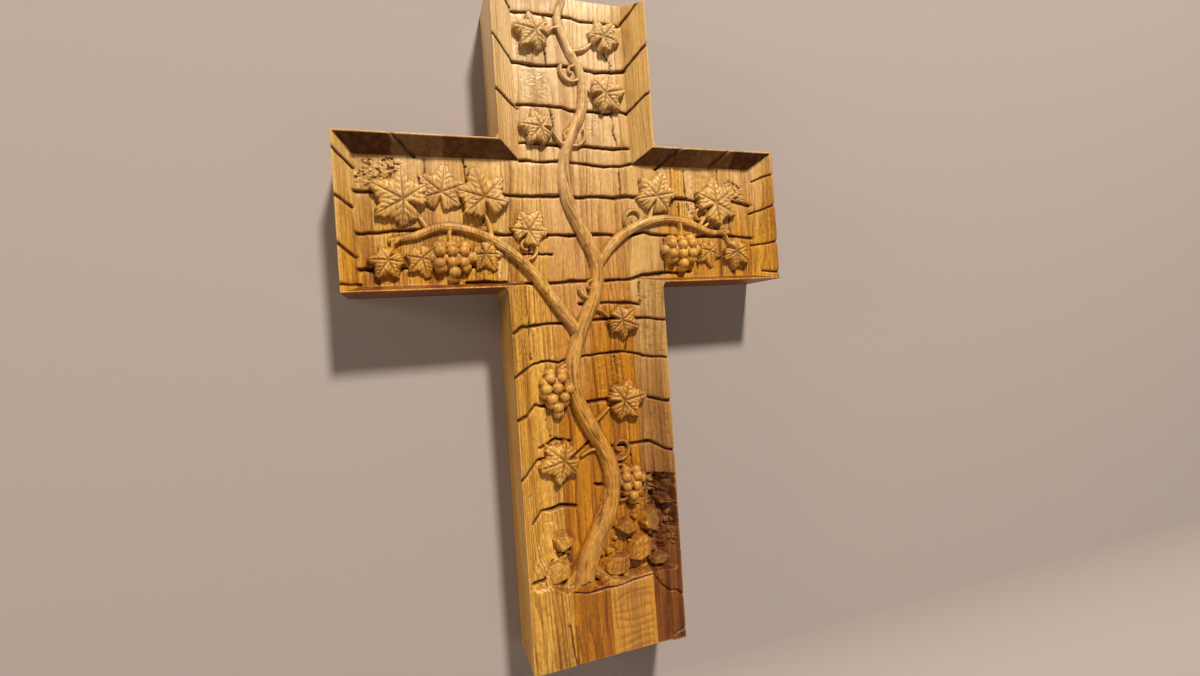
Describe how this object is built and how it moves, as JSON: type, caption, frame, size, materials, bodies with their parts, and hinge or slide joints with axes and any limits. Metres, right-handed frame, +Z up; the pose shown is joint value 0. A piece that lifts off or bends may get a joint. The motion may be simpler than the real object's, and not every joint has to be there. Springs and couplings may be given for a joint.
{
  "type": "carved wooden wall cross",
  "caption": "Thick wooden wall cross glued up from vertical staves, its front sunk into a stone-lined tray with a climbing vine in relief, and a keyhole hanger let into the back.",
  "frame": {"origin": "on the back face, where the wall screw comes to rest in the top of the keyhole's slot", "axes": "+Z up along the upright, +X to the viewer's right, +Y out of the back into the wall; the carved front faces -Y"},
  "size_m": [0.28, 0.04, 0.412],
  "materials": {
    "oak_1": "oiled light oak, carved",
    "oak_2": "oiled light oak, carved",
    "oak_3": "oiled light oak, carved",
    "oak_4": "oiled light oak, carved",
    "oak_5": "oiled light oak, carved",
    "oak_6": "oiled light oak, carved",
    "oak_7": "oiled oak, the darkest stave",
    "oak_8": "oiled light oak, carved",
    "oak_9": "oiled light oak, carved",
    "oak_10": "oiled light oak, carved",
    "zinc_plate": "bright zinc-plated steel",
    "zinc_screw": "yellow zinc-plated steel"
  },
  "bodies": {
    "root": {"left_arm_outer_stave": "oak_1", "left_arm_middle_stave": "oak_2", "left_arm_inner_stave": "oak_3", "upright_left_stave": "oak_4", "upright_core_left_stave": "oak_5", "upright_core_right_stave": "oak_6", "upright_right_stave": "oak_7", "right_arm_inner_stave": "oak_8", "right_arm_middle_stave": "oak_9", "right_arm_outer_stave": "oak_10", "keyhole_plate": "zinc_plate", "hanger_screw_left": "zinc_screw", "hanger_screw_right": "zinc_screw"}
  },
  "joints": []
}
